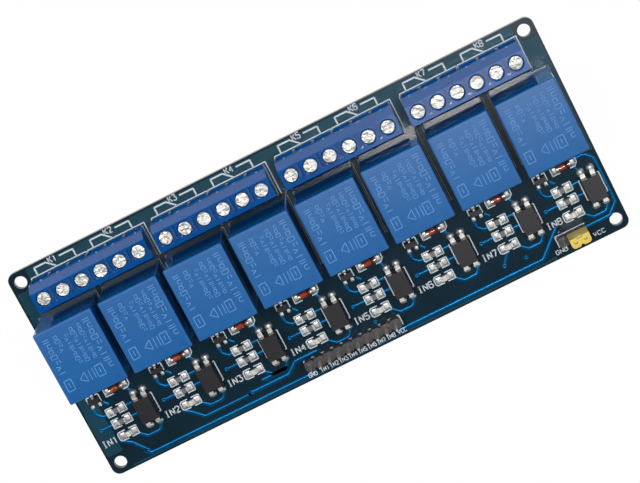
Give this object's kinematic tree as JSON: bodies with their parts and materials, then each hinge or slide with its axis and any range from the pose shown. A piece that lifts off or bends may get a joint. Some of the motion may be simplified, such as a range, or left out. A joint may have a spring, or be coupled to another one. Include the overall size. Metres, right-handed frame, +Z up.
{
  "type": "relay module board",
  "caption": "Circuit board with a row of sealed relays, screw terminals, input parts, a pin header and a supply jumper.",
  "frame": {"origin": "centre of the mounting-hole pattern on the board's underside", "axes": "+X along the board, from the first channel to the last; +Y across the board, from the input header to the screw terminals; +Z up, from the soldered side to the component side"},
  "size_m": [0.1386, 0.056, 0.0191],
  "materials": {
    "solder_mask": "glossy blue-green solder mask over glass-fibre laminate",
    "solder": "bright solder",
    "relay_plastic": "smooth blue moulding",
    "relay_iron": "plated iron",
    "bobbin_plastic": "pale moulding",
    "copper_wire": "enamelled copper winding",
    "contact_brass": "bare strip",
    "tinned_metal": "tinned strip",
    "terminal_plastic": "bright blue moulding",
    "screw_nickel": "nickel plating",
    "black_moulding": "black moulding",
    "diode_glass": "orange-red glass body",
    "resistor_body": "grey ceramic body",
    "lamp_resin": "milky resin",
    "header_metal": "tin-plated brass",
    "cap_plastic": "yellow moulding"
  },
  "bodies": {
    "board": {"circuit_board": "solder_mask", "solder_joints": "solder", "relay_cover_1": "relay_plastic", "relay_cover_2": "relay_plastic", "relay_cover_3": "relay_plastic", "relay_cover_4": "relay_plastic", "relay_cover_5": "relay_plastic", "relay_cover_6": "relay_plastic", "relay_cover_7": "relay_plastic", "relay_cover_8": "relay_plastic", "relay_bases": "relay_plastic", "relay_yokes": "relay_iron", "relay_cores": "relay_iron", "relay_bobbins": "bobbin_plastic", "relay_coils": "copper_wire", "relay_common_posts": "contact_brass", "relay_contact_posts": "contact_brass", "relay_coil_pins": "tinned_metal", "terminal_housing_1": "terminal_plastic", "terminal_housing_2": "terminal_plastic", "terminal_housing_3": "terminal_plastic", "terminal_housing_4": "terminal_plastic", "terminal_housing_5": "terminal_plastic", "terminal_housing_6": "terminal_plastic", "terminal_housing_7": "terminal_plastic", "terminal_housing_8": "terminal_plastic", "terminal_screws": "screw_nickel", "terminal_clamps": "screw_nickel", "terminal_pins": "tinned_metal", "optocoupler_1": "black_moulding", "optocoupler_2": "black_moulding", "optocoupler_3": "black_moulding", "optocoupler_4": "black_moulding", "optocoupler_5": "black_moulding", "optocoupler_6": "black_moulding", "optocoupler_7": "black_moulding", "optocoupler_8": "black_moulding", "optocoupler_leads": "tinned_metal", "transistors": "black_moulding", "transistor_leads": "tinned_metal", "diode_glasses": "diode_glass", "diode_caps": "tinned_metal", "resistors": "resistor_body", "resistor_ends": "solder", "indicator_lamps": "lamp_resin", "lamp_ends": "solder", "input_header": "black_moulding", "input_pins": "header_metal", "jumper_header": "black_moulding", "jumper_pins": "header_metal"},
    "armature_1": {"relay_armature_1": "relay_iron"},
    "armature_2": {"relay_armature_2": "relay_iron"},
    "armature_3": {"relay_armature_3": "relay_iron"},
    "armature_4": {"relay_armature_4": "relay_iron"},
    "armature_5": {"relay_armature_5": "relay_iron"},
    "armature_6": {"relay_armature_6": "relay_iron"},
    "armature_7": {"relay_armature_7": "relay_iron"},
    "armature_8": {"relay_armature_8": "relay_iron"},
    "jumper": {"jumper_cap": "cap_plastic", "jumper_clip": "contact_brass"}
  },
  "joints": [
    {"name": "armature_1_hinge", "type": "hinge", "parent": "board", "child": "armature_1", "pos_m": [-0.05925, 0.0003, 0.01301], "axis": [-1, 0, 0], "range_deg": [0, 1.8], "stiffness_Nm_per_rad": 0.005, "springref_deg": -6.88},
    {"name": "armature_2_hinge", "type": "hinge", "parent": "board", "child": "armature_2", "pos_m": [-0.0422, 0.0003, 0.01301], "axis": [-1, 0, 0], "range_deg": [0, 1.8], "stiffness_Nm_per_rad": 0.005, "springref_deg": -6.88},
    {"name": "armature_3_hinge", "type": "hinge", "parent": "board", "child": "armature_3", "pos_m": [-0.02515, 0.0003, 0.01301], "axis": [-1, 0, 0], "range_deg": [0, 1.8], "stiffness_Nm_per_rad": 0.005, "springref_deg": -6.88},
    {"name": "armature_4_hinge", "type": "hinge", "parent": "board", "child": "armature_4", "pos_m": [-0.0081, 0.0003, 0.01301], "axis": [-1, 0, 0], "range_deg": [0, 1.8], "stiffness_Nm_per_rad": 0.005, "springref_deg": -6.88},
    {"name": "armature_5_hinge", "type": "hinge", "parent": "board", "child": "armature_5", "pos_m": [0.00895, 0.0003, 0.01301], "axis": [-1, 0, 0], "range_deg": [0, 1.8], "stiffness_Nm_per_rad": 0.005, "springref_deg": -6.88},
    {"name": "armature_6_hinge", "type": "hinge", "parent": "board", "child": "armature_6", "pos_m": [0.026, 0.0003, 0.01301], "axis": [-1, 0, 0], "range_deg": [0, 1.8], "stiffness_Nm_per_rad": 0.005, "springref_deg": -6.88},
    {"name": "armature_7_hinge", "type": "hinge", "parent": "board", "child": "armature_7", "pos_m": [0.04305, 0.0003, 0.01301], "axis": [-1, 0, 0], "range_deg": [0, 1.8], "stiffness_Nm_per_rad": 0.005, "springref_deg": -6.88},
    {"name": "armature_8_hinge", "type": "hinge", "parent": "board", "child": "armature_8", "pos_m": [0.0601, 0.0003, 0.01301], "axis": [-1, 0, 0], "range_deg": [0, 1.8], "stiffness_Nm_per_rad": 0.005, "springref_deg": -6.88},
    {"name": "jumper_slide", "type": "slide", "parent": "board", "child": "jumper", "axis": [0, 0, 1], "range_m": [0, 0.0065]}
  ]
}
